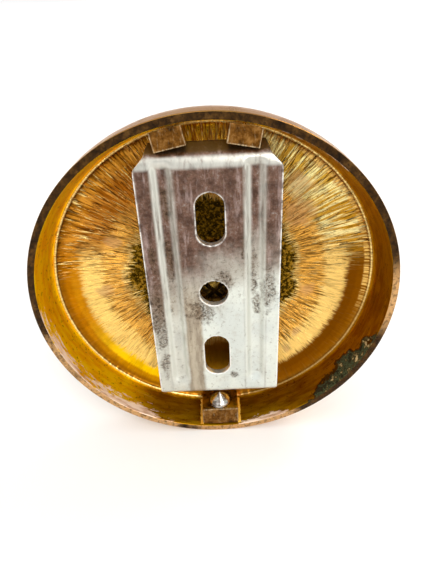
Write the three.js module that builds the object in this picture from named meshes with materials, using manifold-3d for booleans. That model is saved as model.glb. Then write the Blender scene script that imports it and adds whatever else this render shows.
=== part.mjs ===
// Round brass wall rose of a robe hook, with its concealed wall bracket.
// Millimetres, +Z up. Y = 0 is the wall plane, the wall is on the +Y side and the knob on the -Y side.
// The origin is the centre of the rose's open rim, in the wall plane.
import * as THREE from 'three';
import { mergeVertices } from 'three/addons/utils/BufferGeometryUtils.js';
import Module from 'manifold-3d';

const wasm = await Module();
wasm.setup();

// driving dimensions
const gap = 0.3;                 // air left between pieces that touch on the real object
const roseRadius = 36;
const rimWidth = 1.4;
const rimStraight = 2.5;         // depth of the straight outer band before the shoulder
const roseDepth = 15;
const shoulderRadius = 34.2;
const shoulderDepth = 9;
const beadRadius = 33;           // where the drafted inner wall meets the dish
const beadDepth = 7.7;
const dishDepth = 13;
const hubRadius = 7;
const hubDepth = 11;             // depth of the hub's seat for the washers
const boltRadius = 2.5;

const sheet = 1.5;               // bracket sheet thickness
const bracketHalf = 12.8;
const bracketCentre = 1.95;      // height of the bracket's centre hole
const webHalfHeight = 24.4;      // straight part of the web, above and below the centre hole
const flangeAngle = THREE.MathUtils.degToRad(49);
const topBend = 4;
const topLip = 2.15;
const bottomBend = 2;
const bottomLip = 3.8;
const slotWidth = 5.2;
const slotHeight = 10.1;
const slotSpacing = 15.45;       // slot centre to centre hole
const holeRadius = 2.75;
const grooveDepth = 0.95;
const grooveInner = 5.95;        // the four corners of a groove's section, out from the middle
const grooveFloorInner = 7.4;
const grooveFloorOuter = 8.77;
const grooveOuter = 10;
const grooveTopRun = 1.05;       // how far each groove runs onto the upper bend
const grooveBottomStop = 1.5;    // how far above the lower bend it stops

const lugAngle = THREE.MathUtils.degToRad(11.3);
const lugWidth = 5.6;
const lugTip = 30.8;
const lugThick = 1.2;
const lugFoot = 6.2;
const lugFootThick = 1.5;

const bossHalf = 4.15;
const bossTop = 30;
const bossDepth = 7.6;
const bossFaceLow = -0.2;        // the boss's face slopes away from the wall plane towards its top
const bossFaceHigh = -0.75;
const setScrewRadius = 2.4;
const setScrewDepth = 3.5;
const setScrewTip = -27.2;
const setScrewLength = 8;
const setScrewSocket = 1.25;     // half of the hexagon socket's width over corners
const setScrewBoreRadius = setScrewRadius + gap + 0.1;
const setScrewTipFlat = 0.25;

const headTop = -4.2;
const headRadius = 4.75;
const headHeight = 3.4;
const recessHalf = 2.4;          // cross recess: half length at the top and at its floor
const recessFloorHalf = 0.7;
const recessWidth = 0.9;
const recessDepth = 2;
const springThick = 1.2;
const springRadius = 4.3;
const springCutWidth = 0.9;
const springCutLean = 28;        // degrees
const washerThick = 1;
const washerRadius = 5.2;

const collarRadius = 9.5;
const collarHeight = 3.6;
const stemRadius = 5;
const stemLength = 26;
const stemWaist = 1.7;           // how much the stem draws in at its waist
const stemTaper = 0.4;
const stemBoreLength = 13.7;     // tapped bore for the clamp screw, from the stem's seat
const spigotRadius = 2.6;
const spigotLength = 5;
const knobRadius = 11;
const knobLength = 11.5;
const clampScrewLength = 19.5;

const roundSteps = 72;
const smallSteps = 32;

const brass = new THREE.MeshStandardMaterial({ color: 0xb88a2e, roughness: 0.32, metalness: 1 });
const tarnishedBrass = new THREE.MeshStandardMaterial({ color: 0x7a5f38, roughness: 0.48, metalness: 1 });
const zincSteel = new THREE.MeshStandardMaterial({ color: 0xb9b7b4, roughness: 0.36, metalness: 1 });
const brightSteel = new THREE.MeshStandardMaterial({ color: 0xc9c9c6, roughness: 0.25, metalness: 1 });

// a closed geometry as a solid
function solid(geometry) {
  const bare = geometry.clone();
  bare.deleteAttribute('normal');
  bare.deleteAttribute('uv');
  const merged = mergeVertices(bare, 1e-4);
  const mesh = new wasm.Mesh({
    numProp: 3,
    vertProperties: new Float32Array(merged.attributes.position.array),
    triVerts: new Uint32Array(merged.index.array),
  });
  mesh.merge();
  return new wasm.Manifold(mesh);
}

// a solid as a named mesh
function piece(name, body, material) {
  const data = body.getMesh();
  const geometry = new THREE.BufferGeometry();
  geometry.setAttribute('position', new THREE.BufferAttribute(data.vertProperties, 3));
  geometry.setIndex(new THREE.BufferAttribute(data.triVerts, 1));
  geometry.computeVertexNormals();
  const mesh = new THREE.Mesh(geometry, material);
  mesh.name = name;
  return mesh;
}

function polygon(points) {
  return new THREE.Shape(points.map(([x, y]) => new THREE.Vector2(x, y)));
}

function extrude(shape, depth, curveSegments = 10) {
  return new THREE.ExtrudeGeometry(shape, { depth, bevelEnabled: false, curveSegments });
}

// a front outline in X and Z, pushed from Y = front to Y = back
function frontSolid(shape, front, back) {
  const geometry = extrude(shape, front - back);
  geometry.rotateX(Math.PI / 2);
  geometry.translate(0, front, 0);
  return solid(geometry);
}

// a side outline in Y and Z, pushed over the width in X
function sideSolid(shape, width) {
  const geometry = extrude(shape, width);
  const turn = new THREE.Matrix4().makeBasis(
    new THREE.Vector3(0, 1, 0), new THREE.Vector3(0, 0, 1), new THREE.Vector3(1, 0, 0));
  geometry.applyMatrix4(turn);
  geometry.translate(-width / 2, 0, 0);
  return solid(geometry);
}

// a profile of [radius, y] points turned about the Y axis; counterclockwise profiles face out
function turned(points, segments = roundSteps) {
  const profile = points.map(([radius, y]) => new THREE.Vector2(radius, y));
  if (THREE.ShapeUtils.area(profile) < 0) {
    profile.reverse();
  }
  return solid(new THREE.LatheGeometry(profile, segments));
}

// a round bar standing along Z
function upright(radius, bottom, top, y) {
  const geometry = new THREE.CylinderGeometry(radius, radius, top - bottom, smallSteps);
  geometry.rotateX(Math.PI / 2);
  geometry.translate(0, y, (bottom + top) / 2);
  return solid(geometry);
}

function block(xSize, ySize, zSize, x, y, z) {
  const geometry = new THREE.BoxGeometry(xSize, ySize, zSize);
  geometry.translate(x, y, z);
  return solid(geometry);
}

// height of a shallow spherical dish at a radius: deepest on the axis, up at its edge
function dishAt(radius, depth, edgeRadius, edgeDepth) {
  return -depth + (depth - edgeDepth) * (radius / edgeRadius) ** 2;
}

// rose: drafted inner wall, bead, dish and hub seat inside, shoulder and low dome outside
const inside = [];
for (let i = 0; i <= 8; i += 1) {
  const radius = THREE.MathUtils.lerp(hubRadius + 1, beadRadius, i / 8);
  inside.push([radius, dishAt(radius, dishDepth, beadRadius, beadDepth)]);
}
const shoulder = new THREE.CubicBezierCurve(
  new THREE.Vector2(roseRadius, -rimStraight),
  new THREE.Vector2(roseRadius, -rimStraight - 3.4),
  new THREE.Vector2(shoulderRadius + 1.2, -shoulderDepth + 1.3),
  new THREE.Vector2(shoulderRadius, -shoulderDepth),
).getPoints(6).map((point) => [point.x, point.y]);
const dome = [];
for (let i = 1; i <= 8; i += 1) {
  const radius = THREE.MathUtils.lerp(shoulderRadius, collarRadius, i / 8);
  dome.push([radius, dishAt(radius, roseDepth, shoulderRadius, shoulderDepth)]);
}
const innerWall = [[beadRadius + 0.25, -beadDepth + 0.3], [roseRadius - rimWidth, 0]];
const roseProfile = [
  [boltRadius + gap, -hubDepth],
  [hubRadius, -hubDepth],
  ...inside,
  ...innerWall,
  [roseRadius, 0],
  ...shoulder,
  ...dome,
  [collarRadius - 0.4, -roseDepth],
  [boltRadius + gap, -roseDepth],
  [boltRadius + gap, -hubDepth],
];
const setScrewBore = upright(setScrewBoreRadius, -roseRadius - 2, -bossTop + 1, -setScrewDepth);
const roseShell = turned(roseProfile).subtract(setScrewBore);

// the space inside the rose, kept a gap clear of its wall, which trims what is brazed to that wall
const cavity = turned([
  [0, 0], [0, -dishDepth + 2], [beadRadius - 6, -beadDepth - 0.5], [beadRadius - gap, -beadDepth + 0.3],
  [roseRadius - rimWidth - gap, 0], [0, 0],
]);

// hanger lug: a hooked plate level with the rim, on a foot against the wall of the rose
function hangerLug(side) {
  const plate = block(lugWidth, lugThick, roseRadius - lugTip, 0, -lugThick / 2, (roseRadius + lugTip) / 2);
  const footTop = roseRadius;
  const footBottom = beadRadius + 0.3 - lugFootThick;
  const foot = block(lugWidth, lugFoot, footTop - footBottom, 0, -lugFoot / 2, (footTop + footBottom) / 2);
  const angle = THREE.MathUtils.radToDeg(lugAngle) * side;
  return plate.add(foot).rotate([0, angle, 0]).intersect(cavity);
}

// boss for the set screw: a block with a sloping face, against the bottom of the rose's wall
const bossOutline = polygon([
  [bossFaceLow, -roseRadius], [bossFaceHigh, -bossTop], [-bossDepth, -bossTop], [-bossDepth, -roseRadius],
]);
const screwBoss = sideSolid(bossOutline, 2 * bossHalf).intersect(cavity).subtract(setScrewBore);

// set screw: cone point up, hexagon socket in the lower end
function setScrew() {
  const bottom = setScrewTip - setScrewLength;
  const profile = [
    [0, bottom], [setScrewRadius - 0.3, bottom], [setScrewRadius, bottom + 0.3],
    [setScrewRadius, setScrewTip - setScrewRadius - 0.1], [setScrewTipFlat, setScrewTip - 0.1],
    [0, setScrewTip],
  ];
  const bar = turned(profile, smallSteps);
  const hexagon = new THREE.CylinderGeometry(setScrewSocket, setScrewSocket, 2 * setScrewRadius, 6);
  const socket = solid(hexagon.translate(0, bottom, 0));
  return bar.subtract(socket).rotate([90, 0, 0]).translate([0, -setScrewDepth, 0]);
}

// bracket side outline: web on the wall plane with both ends bent away from the wall
function bendPoints(radius, lip, start, up) {
  const steps = 6;
  const points = [];
  for (let i = 0; i <= steps; i += 1) {
    const angle = (flangeAngle * i) / steps;
    points.push([-radius * (1 - Math.cos(angle)), start + up * radius * Math.sin(angle)]);
  }
  const [y, z] = points[steps];
  points.push([y - lip * Math.sin(flangeAngle), z + up * lip * Math.cos(flangeAngle)]);
  return points;
}

// each bend seen from its inner side keeps the same centre, so the sheet stays one thickness
function sheetEnd(radius, lip, up) {
  const start = bracketCentre + up * webHalfHeight;
  const outer = bendPoints(radius, lip, start, up);
  const inner = bendPoints(radius - sheet, lip, start, up).map(([y, z]) => [y - sheet, z]);
  return { outer, inner };
}
const upperEnd = sheetEnd(topBend, topLip, 1);
const lowerEnd = sheetEnd(bottomBend, bottomLip, -1);
const bracketSide = polygon([
  ...upperEnd.outer, ...upperEnd.inner.reverse(), ...lowerEnd.inner, ...lowerEnd.outer.reverse(),
]);

// bracket front outline: straight sides, corners cut back towards both bent ends
const webTop = bracketCentre + webHalfHeight;
const webBottom = bracketCentre - webHalfHeight;
const halfOutline = [
  [10.4, webBottom - 6], [10.4, webBottom - 4.2], [11.6, webBottom - 2.9], [bracketHalf, webBottom - 0.9],
  [bracketHalf, webTop + 0.5], [10.9, webTop + 2.6], [9.8, webTop + 5],
];
const bracketFront = polygon([...halfOutline, ...halfOutline.map(([x, z]) => [-x, z]).reverse()]);

// one pressed groove: the same section cuts the wall side and stands proud behind
const grooveBottom = webBottom + grooveBottomStop;
const grooveTop = webTop + grooveTopRun;
function grooveBar(side, lift) {
  const corners = [
    [grooveInner, 0], [grooveFloorInner, -grooveDepth], [grooveFloorOuter, -grooveDepth], [grooveOuter, 0],
    [grooveOuter, 1], [grooveInner, 1],
  ];
  const section = polygon(corners.map(([x, y]) => [side * x, y - lift]));
  const geometry = extrude(section, grooveTop - grooveBottom);
  geometry.translate(0, 0, grooveBottom);
  return solid(geometry);
}

function slot(z) {
  const half = slotWidth / 2;
  const straight = slotHeight / 2 - half;
  const outline = new THREE.Shape();
  outline.absarc(0, z + straight, half, 0, Math.PI, false);
  outline.absarc(0, z - straight, half, Math.PI, 2 * Math.PI, false);
  return frontSolid(outline, 2, -4);
}

function wallBracket() {
  const width = 2 * bracketHalf + 1;
  let body = sideSolid(bracketSide, width).intersect(frontSolid(bracketFront, 2, -12));
  for (const side of [-1, 1]) {
    body = body.add(grooveBar(side, sheet)).subtract(grooveBar(side, 0));
  }
  const hole = solid(new THREE.CylinderGeometry(holeRadius, holeRadius, 8, smallSteps)
    .translate(0, 0, bracketCentre));
  body = body.subtract(hole);
  for (const side of [-1, 1]) {
    body = body.subtract(slot(bracketCentre + side * slotSpacing));
  }
  return body;
}

// clamp screw: cross-recessed pan head inside the rose, shank through the hub into the stem
function clampScrew() {
  const under = headTop - headHeight;
  const headCurve = new THREE.QuadraticBezierCurve(
    new THREE.Vector2(headRadius, under + 1.2),
    new THREE.Vector2(headRadius, headTop),
    new THREE.Vector2(headRadius - 2.6, headTop),
  ).getPoints(5).map((point) => [point.x, point.y]);
  const profile = [
    [0, under - clampScrewLength], [boltRadius - 0.6, under - clampScrewLength],
    [boltRadius, under - clampScrewLength + 0.8], [boltRadius, under], [headRadius, under],
    ...headCurve, [0, headTop],
  ];
  let body = turned(profile, smallSteps);
  for (const turn of [0, 90]) {
    const arm = polygon([
      [-recessHalf, headTop + 1], [recessHalf, headTop + 1], [recessHalf, headTop],
      [recessFloorHalf, headTop - recessDepth], [-recessFloorHalf, headTop - recessDepth],
      [-recessHalf, headTop],
    ]);
    const flat = extrude(arm, recessWidth).translate(0, 0, -recessWidth / 2);
    const wedge = solid(flat).rotate([0, turn + 45, 0]);
    body = body.subtract(wedge);
  }
  return body;
}

function ringSolid(innerRadius, outerRadius, top, thick) {
  const profile = [
    [innerRadius, top - thick], [outerRadius, top - thick], [outerRadius, top], [innerRadius, top],
    [innerRadius, top - thick],
  ];
  return turned(profile, smallSteps);
}

// split spring washer: a ring with a slanting cut at the top
const springTop = headTop - headHeight - gap;
const springCut = block(springCutWidth, 4, 4, 0, 0, (boltRadius + gap + springRadius) / 2)
  .rotate([0, 0, springCutLean])
  .translate([0, springTop - springThick / 2, 0]);
const springWasher = ringSolid(boltRadius + gap, springRadius, springTop, springThick).subtract(springCut);
const washerTop = springTop - springThick - gap;
const flatWasher = ringSolid(boltRadius + gap, washerRadius, washerTop, washerThick);

// front: collar, waisted stem and round knob
const seat = -roseDepth - gap;
const collar = [
  [stemRadius + gap, seat], [stemRadius + gap, seat - collarHeight],
  [stemRadius + 1.2, seat - collarHeight], [stemRadius + 2.2, seat - collarHeight + 0.7],
  [collarRadius - 1.9, seat - 1.9], [collarRadius - 0.4, seat - 1.5], [collarRadius - 0.2, seat - 0.7],
  [collarRadius - 0.5, seat], [stemRadius + gap, seat],
];
const stemEnd = seat - stemLength;
const stemBore = seat - stemBoreLength;
const waist = [];
for (let i = 0; i <= 14; i += 1) {
  const along = i / 14;
  const radius = stemRadius - stemWaist * Math.sin(Math.PI * along) ** 2 - stemTaper * along;
  waist.push([radius, THREE.MathUtils.lerp(seat - collarHeight - 0.4, stemEnd, along)]);
}
const stemProfile = [
  [boltRadius + gap, seat], [stemRadius, seat], ...waist, [spigotRadius, stemEnd],
  [spigotRadius, stemEnd - spigotLength], [0, stemEnd - spigotLength], [0, stemBore],
  [boltRadius + gap, stemBore + 1.5], [boltRadius + gap, seat],
];
const knobBack = stemEnd - gap;
const knobFront = knobBack - knobLength;
const knobCurve = new THREE.CatmullRomCurve3([
  [6.1, 0], [7.4, 0.6], [9.9, 2.4], [knobRadius, 5.2], [10.3, 8.4], [7.4, 10.6], [3.6, 11.35],
].map(([radius, y]) => new THREE.Vector3(radius, knobBack - y, 0))).getPoints(20).map((p) => [p.x, p.y]);
const knobProfile = [
  [0, knobFront], [0, stemEnd - spigotLength - gap], [spigotRadius + gap, stemEnd - spigotLength - gap],
  [spigotRadius + gap, knobBack], ...knobCurve, [0, knobFront],
];

const group = new THREE.Group();
group.add(
  piece('wall_bracket', wallBracket(), zincSteel),
  piece('rose_shell', roseShell, brass),
  piece('hanger_lug_left', hangerLug(-1), tarnishedBrass),
  piece('hanger_lug_right', hangerLug(1), tarnishedBrass),
  piece('screw_boss', screwBoss, tarnishedBrass),
  piece('set_screw', setScrew(), brightSteel),
  piece('clamp_screw', clampScrew(), brightSteel),
  piece('spring_washer', springWasher, brightSteel),
  piece('flat_washer', flatWasher, zincSteel),
  piece('stem_collar', turned(collar), brass),
  piece('hook_stem', turned(stemProfile, smallSteps), brass),
  piece('hook_knob', turned(knobProfile, 48), brass),
);

export default group;
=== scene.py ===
import math
from types import SimpleNamespace

import bmesh
import bpy
import numpy as np
from mathutils import Matrix, Vector, noise


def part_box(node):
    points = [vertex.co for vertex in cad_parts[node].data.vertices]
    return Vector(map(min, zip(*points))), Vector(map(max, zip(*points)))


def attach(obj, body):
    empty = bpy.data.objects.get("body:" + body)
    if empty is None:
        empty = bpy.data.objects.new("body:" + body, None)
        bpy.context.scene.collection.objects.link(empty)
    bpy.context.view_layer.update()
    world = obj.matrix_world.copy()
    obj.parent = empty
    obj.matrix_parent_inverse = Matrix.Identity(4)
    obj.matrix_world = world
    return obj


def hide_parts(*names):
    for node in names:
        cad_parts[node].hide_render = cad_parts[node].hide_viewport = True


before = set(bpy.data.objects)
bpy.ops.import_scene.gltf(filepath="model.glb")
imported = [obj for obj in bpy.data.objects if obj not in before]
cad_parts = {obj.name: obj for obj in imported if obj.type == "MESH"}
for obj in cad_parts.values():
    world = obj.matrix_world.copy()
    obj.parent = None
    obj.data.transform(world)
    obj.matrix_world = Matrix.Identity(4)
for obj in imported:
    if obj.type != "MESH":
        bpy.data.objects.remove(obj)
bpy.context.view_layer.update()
scene = bpy.context.scene
mm = 0.001
print("frame loaded:", len(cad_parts), "nodes")

# meshes: all sizes in the code are mm, and become metres only in the mesh itself

def addObject(name, points, faces):
    mesh = bpy.data.meshes.new(name)
    mesh.from_pydata([(x * mm, y * mm, z * mm) for x, y, z in points], [], faces)
    work = bmesh.new()
    work.from_mesh(mesh)
    bmesh.ops.recalc_face_normals(work, faces=work.faces)
    work.to_mesh(mesh)
    work.free()
    made = bpy.data.objects.new(name, mesh)
    scene.collection.objects.link(made)
    return made


def boxOf(node):
    low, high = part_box(node)
    return low / mm, high / mm


def softCorners(corners, closed=False, steps=4):
    # corners are (radius, depth, rounding); each is replaced by a short curve of that size
    line = []
    count = len(corners)
    for i, (radius, depth, soft) in enumerate(corners):
        here = np.array([radius, depth], float)
        if soft <= 0 or (not closed and i in (0, count - 1)):
            line.append(here)
            continue
        toBefore = np.array(corners[i - 1][:2], float) - here
        toAfter = np.array(corners[(i + 1) % count][:2], float) - here
        toBefore *= min(soft / np.linalg.norm(toBefore), 0.48)
        toAfter *= min(soft / np.linalg.norm(toAfter), 0.48)
        for step in range(steps + 1):
            t = step / steps
            line.append(here + toBefore * (1 - t) ** 2 + toAfter * t ** 2)
    return np.array(line)


def subdivided(line, longest):
    # extra points so that no stretch of the profile is longer than longest
    dense = [line[0]]
    for start, end in zip(line[:-1], line[1:]):
        parts = max(1, int(math.ceil(np.linalg.norm(end - start) / longest)))
        for k in range(1, parts + 1):
            dense.append(start + (end - start) * k / parts)
    return np.array(dense)


def turned(name, profile, steps, closed=False):
    # a profile of (radius, depth) turned about the Y axis
    points = []
    rings = []
    for radius, depth in profile:
        count = 1 if radius < 1e-5 else steps
        rings.append([len(points) + k for k in range(count)])
        for k in range(count):
            angle = 2 * math.pi * k / count
            points.append((radius * math.sin(angle), depth, radius * math.cos(angle)))
    faces = []
    pairs = list(zip(rings[:-1], rings[1:]))
    if closed:
        pairs.append((rings[-1], rings[0]))
    for one, other in pairs:
        for k in range(steps if len(one) + len(other) > 2 else 0):
            nextK = (k + 1) % steps
            if len(one) == 1:
                faces.append((one[0], other[k], other[nextK]))
            elif len(other) == 1:
                faces.append((one[k], other[0], one[nextK]))
            else:
                faces.append((one[k], other[k], other[nextK], one[nextK]))
    return addObject(name, points, faces)


def prism(name, outline, low, high, axis):
    # an outline pushed along one axis: "y" takes (x, z) points, "z" takes (x, y) points
    count = len(outline)
    points = [(a, level, b) if axis == "y" else (a, b, level) for level in (low, high) for a, b in outline]
    faces = [tuple(range(count)), tuple(range(2 * count - 1, count - 1, -1))]
    for k in range(count):
        nextK = (k + 1) % count
        faces.append((k, nextK, count + nextK, count + k))
    return addObject(name, points, faces)


def smoothStep(value, low, high):
    t = np.clip((value - low) / (high - low), 0, 1)
    return t * t * (3 - 2 * t)


def settle(target):
    # the modifiers become the mesh
    bpy.context.view_layer.update()
    graph = bpy.context.evaluated_depsgraph_get()
    mesh = bpy.data.meshes.new_from_object(target.evaluated_get(graph))
    target.modifiers.clear()
    target.data = mesh


def carve(target, cutters):
    for cutter in cutters:
        step = target.modifiers.new("carve", "BOOLEAN")
        step.operation = "DIFFERENCE"
        step.solver = "EXACT"
        step.object = cutter
    settle(target)
    for cutter in cutters:
        bpy.data.objects.remove(cutter)


def remeshed(target, voxel, smoothing):
    step = target.modifiers.new("remesh", "REMESH")
    step.mode = "VOXEL"
    step.voxel_size = voxel * mm
    step = target.modifiers.new("smooth", "SMOOTH")
    step.factor = 0.5
    step.iterations = smoothing
    settle(target)


def smoothShade(target, sharpAngle=None):
    for face in target.data.polygons:
        face.use_smooth = True
    if sharpAngle is not None:
        target.data.set_sharp_from_angle(angle=math.radians(sharpAngle))


def coordinates(target):
    flat = np.zeros(len(target.data.vertices) * 3)
    target.data.vertices.foreach_get("co", flat)
    return flat.reshape(-1, 3) / mm


def moveTo(target, points):
    target.data.vertices.foreach_set("co", (points * mm).ravel())
    target.data.update()


def placed(target, place, degrees, axis):
    # moved to a place in mm after a turn about one axis
    turn = Matrix.Rotation(math.radians(degrees), 4, axis)
    target.data.transform(Matrix.Translation([value * mm for value in place]) @ turn)
    return target


def boreCutter(radius, low, high, place):
    # a round cutter along Z
    bore = turned("boreCut", [(0, low), (radius, low), (radius, high), (0, high)], 64)
    return placed(bore, place, 90, "X")


def storeMasks(target, **masks):
    for name, values in masks.items():
        attribute = target.data.attributes.new(name, "FLOAT", "POINT")
        attribute.data.foreach_set("value", np.asarray(values, np.float32))


def finishPiece(target, materials, body, slotName, *nodes):
    target.data.materials.clear()
    for material in materials:
        target.data.materials.append(material)
    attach(target, body)
    if nodes:
        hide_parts(*nodes)


# shader nodes: colours are written as screen colours such as "c88c1e"

class Value:
    # a node's output that can be reckoned with like a number, where each step adds a node to its tree
    def __init__(self, socket):
        self.socket = socket
        self.tree = socket.id_data

    def math(self, operation, *others):
        inputs = dict(enumerate((self, *others)))
        return Value(addNode(self.tree, "ShaderNodeMath", inputs, operation=operation).outputs[0])

    def __add__(self, other):
        return self.math("ADD", other)

    def __sub__(self, other):
        return self.math("SUBTRACT", other)

    def __rsub__(self, other):
        return self.math("MULTIPLY_ADD", -1.0, other)

    def __mul__(self, other):
        return self.math("MULTIPLY", other)

    def __truediv__(self, other):
        return self.math("DIVIDE", other)

    def either(self, other):
        return self.math("MAXIMUM", other)

    def away(self):
        return self.math("ABSOLUTE")


def tone(code):
    values = [int(code[i:i + 2], 16) / 255 for i in (0, 2, 4)]
    return tuple(v / 12.92 if v <= 0.04045 else ((v + 0.055) / 1.055) ** 2.4 for v in values) + (1.0,)


def connect(value, socket):
    # a value drives the socket; a number or a colour is set on it
    if isinstance(value, Value):
        socket.id_data.links.new(value.socket, socket)
    else:
        socket.default_value = tone(value) if isinstance(value, str) else value


def addNode(tree, kind, values=None, **settings):
    made = tree.nodes.new(kind)
    for key, value in settings.items():
        setattr(made, key, value)
    for key, value in (values or {}).items():
        connect(value, made.inputs[key])
    return made


def vectorMath(operation, first, second=(0, 0, 0), output="Vector"):
    made = addNode(first.tree, "ShaderNodeVectorMath", {0: first, 1: second}, operation=operation)
    return Value(made.outputs[output])


def stretched(vector, x, y, z):
    return vectorMath("MULTIPLY", vector, (x, y, z))


def separate(vector):
    return [Value(output) for output in addNode(vector.tree, "ShaderNodeSeparateXYZ", {0: vector}).outputs]


def combined(*parts):
    tree = next(part.tree for part in parts if isinstance(part, Value))
    return Value(addNode(tree, "ShaderNodeCombineXYZ", dict(enumerate(parts))).outputs[0])


def ease(value, low, high, outLow=0.0, outHigh=1.0):
    limits = {"Value": value, "From Min": low, "From Max": high, "To Min": outLow, "To Max": outHigh}
    made = addNode(value.tree, "ShaderNodeMapRange", limits, interpolation_type="SMOOTHSTEP")
    return Value(made.outputs["Result"])


def mixColour(amount, under, over):
    values = {0: amount, 6: under, 7: over}
    return Value(addNode(amount.tree, "ShaderNodeMix", values, data_type="RGBA").outputs[2])


def mixValue(amount, under, over):
    values = {0: amount, 2: under, 3: over}
    return Value(addNode(amount.tree, "ShaderNodeMix", values, data_type="FLOAT").outputs[0])


def anyOf(masks):
    whole = masks[0]
    for mask in masks[1:]:
        whole = whole.either(mask)
    return whole


def noiseValue(vector, scale, detail=2.0, rough=0.5):
    values = {"Vector": vector, "Scale": scale, "Detail": detail, "Roughness": rough}
    return Value(addNode(vector.tree, "ShaderNodeTexNoise", values).outputs["Fac"])


def meshMask(where, name):
    return Value(addNode(where.tree, "ShaderNodeAttribute", attribute_name=name).outputs["Fac"])


def colourRamp(factor, stops):
    made = addNode(factor.tree, "ShaderNodeValToRGB", {"Fac": factor})
    ramp = made.color_ramp.elements
    while len(ramp) < len(stops):
        ramp.new(0.5)
    for element, (position, code) in zip(ramp, stops):
        element.position = position
        element.color = tone(code)
    return Value(made.outputs["Color"])


def bumpNormal(height, distance):
    values = {"Height": height, "Distance": distance * mm}
    return Value(addNode(height.tree, "ShaderNodeBump", values).outputs["Normal"])


def newMaterial(name):
    material = bpy.data.materials.new(name)
    material.use_nodes = True
    tree = material.node_tree
    where = Value(tree.nodes.new("ShaderNodeTexCoord").outputs["Object"])
    return material, tree.nodes["Principled BSDF"], where


def feed(shader, **sockets):
    labels = {"baseColor": "Base Color", "roughness": "Roughness", "metallic": "Metallic",
              "normal": "Normal", "edgeTint": "Specular Tint"}
    for key, value in sockets.items():
        connect(value, shader.inputs[labels[key]])


# shader groups: each takes a place and gives one mask, streak or height

def socketLabel(key):
    return key[0].upper() + key[1:]


def newGroup(name, output, **inputs):
    # one output, and inputs with their starting values beside the Vector that every group takes
    group = bpy.data.node_groups.new(name, "ShaderNodeTree")
    inputs = {"vector": (0, 0, 0), **inputs}
    for key, start in inputs.items():
        kind = "NodeSocketVector" if isinstance(start, tuple) else "NodeSocketFloat"
        group.interface.new_socket(socketLabel(key), in_out="INPUT", socket_type=kind).default_value = start
    group.interface.new_socket(output, in_out="OUTPUT", socket_type="NodeSocketFloat")
    sockets = group.nodes.new("NodeGroupInput").outputs
    given = SimpleNamespace(**{key: Value(sockets[socketLabel(key)]) for key in inputs})
    return group, given, group.nodes.new("NodeGroupOutput").inputs[0]


def useGroup(group, where, **values):
    made = addNode(where.tree, "ShaderNodeGroup", {"Vector": where}, node_tree=group)
    for key, value in values.items():
        connect(value, made.inputs[socketLabel(key)])
    return Value(made.outputs[0])


def aroundAxis(vector):
    # distance from the Y axis, and the direction away from it
    flat = stretched(vector, 1, 0, 1)
    return vectorMath("LENGTH", flat, output="Value"), vectorMath("NORMALIZE", flat)


def buildRadialBrush():
    # brush marks that run outward from the Y axis: Fineness sets how many, Length how short they are
    group, given, out = newGroup("radialBrush", "Streak", fineness=60.0, length=160.0, middle=0.5,
                                 contrast=0.2, seed=0.0)
    radius, direction = aroundAxis(given.vector)
    spread = vectorMath("MULTIPLY", direction, combined(given.fineness, 0.0, given.fineness))
    along = combined(0.0, radius * given.length + given.seed, 0.0)
    streak = noiseValue(vectorMath("ADD", spread, along), 1.0, 3.0, 0.62)
    connect(ease(streak, given.middle - given.contrast, given.middle + given.contrast), out)
    return group


def buildRoundPatch():
    # a patch with a ragged edge
    group, given, out = newGroup("roundPatch", "Mask", centre=(0, 0, 0), stretch=(1, 1, 1), radius=0.003,
                                 ragged=0.5, grain=500.0)
    off = vectorMath("MULTIPLY", vectorMath("SUBTRACT", given.vector, given.centre), given.stretch)
    wobble = (noiseValue(given.vector, given.grain, 4.0, 0.6) - 0.5) * given.ragged
    distance = vectorMath("LENGTH", off, output="Value") / given.radius
    connect(ease(distance + wobble * 3.0, 1.3, 0.55), out)
    return group


def buildRingPatch():
    # part of a ring about the Y axis: Toward is its middle direction, Spread the cosine of its half angle,
    # and Shift pushes its edges in and out
    group, given, out = newGroup("ringPatch", "Mask", ring=0.03, width=0.002, toward=(0, 0, 1), spread=0.8,
                                 soft=0.1, ragged=0.3, grain=400.0, shift=0.0)
    radius, direction = aroundAxis(given.vector)
    wobble = (noiseValue(given.vector, given.grain, 4.0, 0.6) - 0.5) * given.ragged
    off = (radius + given.shift - given.ring).away() / given.width
    facing = vectorMath("DOT_PRODUCT", direction, given.toward, output="Value") - wobble * given.soft * 2.0
    along = ease(facing, given.spread - given.soft, given.spread + given.soft)
    connect(ease(off + wobble * 3.0, 1.3, 0.65) * along, out)
    return group


def buildSpeckle():
    group, given, out = newGroup("speckle", "Mask", grain=900.0, amount=0.4, soft=0.06)
    level = 0.72 - given.amount * 0.45
    value = noiseValue(given.vector, given.grain, 5.0, 0.65)
    connect(ease(value, level - given.soft, level + given.soft), out)
    return group


def buildSpunLines():
    # fine tool lines round the Y axis
    group, given, out = newGroup("spunLines", "Height", fineness=6000.0)
    radius, direction = aroundAxis(given.vector)
    lines = combined(radius * given.fineness, separate(given.vector)[1] * given.fineness, 0.0)
    connect(noiseValue(vectorMath("ADD", lines, stretched(direction, 0.6, 0, 0.6)), 1.0, 2.0, 0.6), out)
    return group


radialBrush = buildRadialBrush()
roundPatch = buildRoundPatch()
ringPatch = buildRingPatch()
speckle = buildSpeckle()
spunLines = buildSpunLines()


def clockPoint(degrees, reach=1.0, depth=0.0):
    # a place on the rose as seen from its open side: 0 is up, 90 is to the viewer's right
    return (-math.sin(math.radians(degrees)) * reach, depth, math.cos(math.radians(degrees)) * reach)


def ringBand(where, ring, width, clock, spread, soft=0.1, ragged=0.1, grain=260.0, **extra):
    # ring and half width in mm, clock and half spread in degrees
    return useGroup(ringPatch, where, ring=ring * mm, width=width * mm, toward=clockPoint(clock),
                    spread=math.cos(math.radians(spread)), soft=soft, ragged=ragged, grain=grain, **extra)


# finishes

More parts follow.
